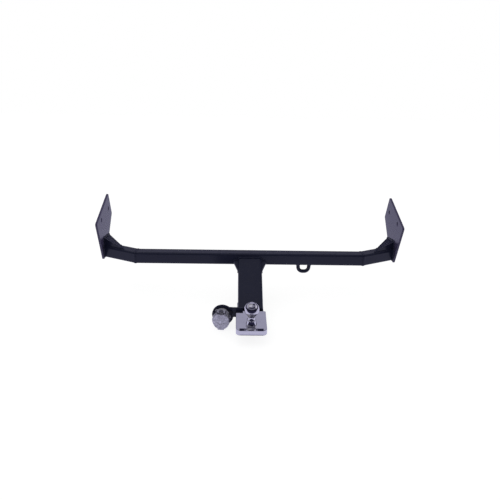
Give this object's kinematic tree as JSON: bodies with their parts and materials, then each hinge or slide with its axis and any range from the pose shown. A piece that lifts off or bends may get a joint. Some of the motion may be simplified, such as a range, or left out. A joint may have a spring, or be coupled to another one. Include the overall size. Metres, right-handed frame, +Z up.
{
  "type": "trailer hitch",
  "caption": "Welded tow bar with chassis side plates, drop arm, bolt-on ball plate with tow ball, round trailer socket with sprung lid, and a chain loop.",
  "frame": {"origin": "centre of the tow ball", "axes": "+X to the right seen from behind the vehicle, +Y forward to the vehicle, +Z up along the ball's axis"},
  "size_m": [1.138, 0.6283, 0.3371],
  "materials": {
    "frame_paint": "glossy black paint",
    "plate_paint": "glossy black paint",
    "chrome": "bright chrome plate",
    "zinc": "bright zinc plate",
    "socket_alloy": "cast alloy",
    "lid_alloy": "bright alloy",
    "insert_plastic": "moulded",
    "brass": "turned",
    "rubber": "moulded",
    "spring_steel": "drawn wire"
  },
  "bodies": {
    "root": {"cross_tube": "frame_paint", "left_end_tube": "frame_paint", "right_end_tube": "frame_paint", "left_side_plate": "plate_paint", "right_side_plate": "plate_paint", "left_gusset": "frame_paint", "right_gusset": "frame_paint", "drop_arm": "frame_paint", "left_arm_gusset": "frame_paint", "right_arm_gusset": "frame_paint", "arm_foot": "frame_paint", "safety_chain_loop": "frame_paint", "ball_plate": "chrome", "tow_ball": "chrome", "ball_lock_washer": "zinc", "ball_nut": "zinc", "foot_washers": "zinc", "foot_bolts": "zinc", "socket_bracket": "frame_paint", "socket_gasket": "rubber", "socket_body": "socket_alloy", "socket_insert": "insert_plastic", "socket_contacts": "brass", "socket_cable_gland": "rubber", "socket_screws": "frame_paint", "socket_nuts": "zinc", "lid_hinge_pin": "spring_steel", "lid_spring": "spring_steel"},
    "lid": {"socket_lid": "lid_alloy", "lid_seal": "rubber"}
  },
  "joints": [
    {"name": "lid_hinge", "type": "hinge", "parent": "root", "child": "lid", "pos_m": [-0.10279, 0.07037, -0.0445], "axis": [-0.9903, 0.1392, 0], "range_deg": [0, 110], "stiffness_Nm_per_rad": 0.2, "springref_deg": -57.3, "deforming": ["lid_spring"]}
  ]
}
